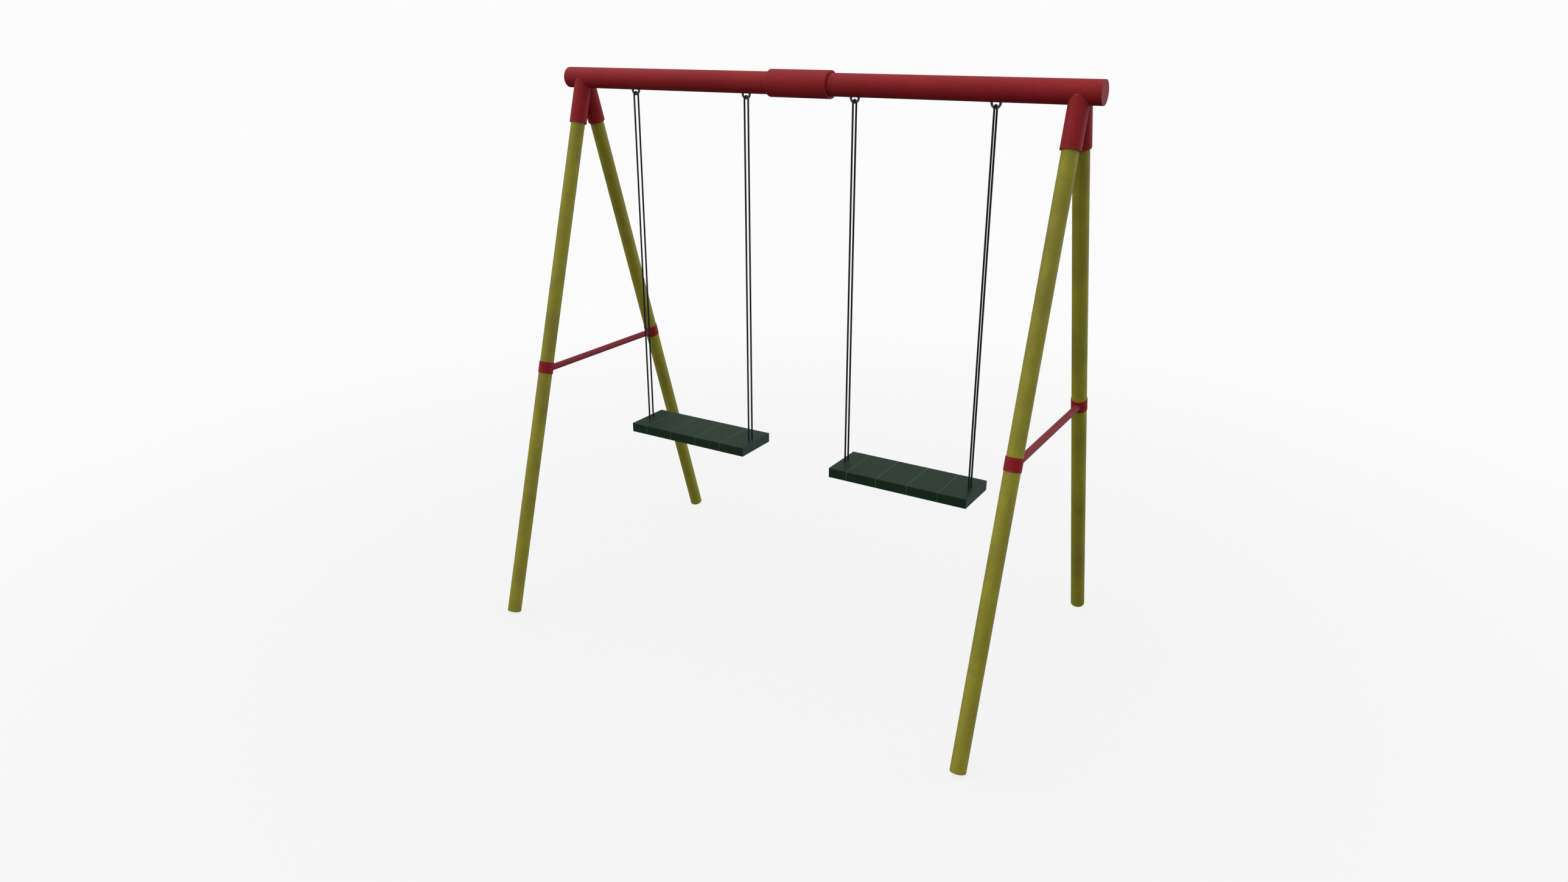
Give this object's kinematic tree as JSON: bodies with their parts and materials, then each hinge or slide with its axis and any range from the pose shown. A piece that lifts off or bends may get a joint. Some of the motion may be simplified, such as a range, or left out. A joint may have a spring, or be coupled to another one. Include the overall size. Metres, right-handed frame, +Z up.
{
  "type": "swing set",
  "caption": "Garden swing set: a sleeved tubular beam on braced A-frames, with flat block seats hung on doubled ropes from eyes under the beam.",
  "frame": {"origin": "on the ground below the middle of the beam, the bottom centre of the bounding box", "axes": "+X along the beam and the seats, +Y the way the seats swing, from front to back, +Z up"},
  "size_m": [1.942, 1.2252, 1.9508],
  "materials": {
    "red_paint": "satin powder coat, faintly mottled",
    "olive_paint": "satin powder coat with weathered streaks",
    "dark_steel": "dark blue-grey forged steel",
    "zinc_steel": "zinc-plated",
    "rope_black": "black braided rope with a slight sheen",
    "seat_green": "dark green moulded rubber, matte",
    "seam_grey": "grey-green filler, matte"
  },
  "bodies": {
    "frame": {"beam_cap_left": "red_paint", "beam_cap_right": "red_paint", "beam_sleeve": "red_paint", "beam_tube_left": "red_paint", "beam_tube_right": "red_paint", "brace_left": "red_paint", "brace_right": "red_paint", "eye_left_a": "dark_steel", "eye_left_b": "dark_steel", "eye_right_a": "dark_steel", "eye_right_b": "dark_steel", "leg_back_left": "olive_paint", "leg_back_right": "olive_paint", "leg_collar_back_left": "red_paint", "leg_collar_back_right": "red_paint", "leg_collar_front_left": "red_paint", "leg_collar_front_right": "red_paint", "leg_front_left": "olive_paint", "leg_front_right": "olive_paint", "leg_socket_back_left": "red_paint", "leg_socket_back_right": "red_paint", "leg_socket_front_left": "red_paint", "leg_socket_front_right": "red_paint", "sleeve_screw_1": "zinc_steel", "sleeve_screw_2": "zinc_steel", "sleeve_screw_3": "zinc_steel", "sleeve_screw_4": "zinc_steel", "socket_screw_back_left": "zinc_steel", "socket_screw_back_right": "zinc_steel", "socket_screw_front_left": "zinc_steel", "socket_screw_front_right": "zinc_steel"},
    "left_swing": {"rope_left_a": "rope_black", "rope_left_b": "rope_black", "rope_stop_left_a": "zinc_steel", "rope_stop_left_b": "zinc_steel", "seat_block_left_1": "seat_green", "seat_block_left_2": "seat_green", "seat_block_left_3": "seat_green", "seat_block_left_4": "seat_green", "seat_block_left_5": "seat_green", "seat_core_left": "zinc_steel", "seat_strip_left_1": "seam_grey", "seat_strip_left_2": "seam_grey", "seat_strip_left_3": "seam_grey", "seat_strip_left_4": "seam_grey"},
    "right_swing": {"rope_right_a": "rope_black", "rope_right_b": "rope_black", "rope_stop_right_a": "zinc_steel", "rope_stop_right_b": "zinc_steel", "seat_block_right_1": "seat_green", "seat_block_right_2": "seat_green", "seat_block_right_3": "seat_green", "seat_block_right_4": "seat_green", "seat_block_right_5": "seat_green", "seat_core_right": "zinc_steel", "seat_strip_right_1": "seam_grey", "seat_strip_right_2": "seam_grey", "seat_strip_right_3": "seam_grey", "seat_strip_right_4": "seam_grey"}
  },
  "joints": [
    {"name": "left_swing_pivot", "type": "hinge", "parent": "frame", "child": "left_swing", "pos_m": [-0.4399, 0, 1.8571], "axis": [1, 0, 0], "range_deg": [-75, 75]},
    {"name": "right_swing_pivot", "type": "hinge", "parent": "frame", "child": "right_swing", "pos_m": [0.4269, 0, 1.8571], "axis": [1, 0, 0], "range_deg": [-75, 75]}
  ]
}
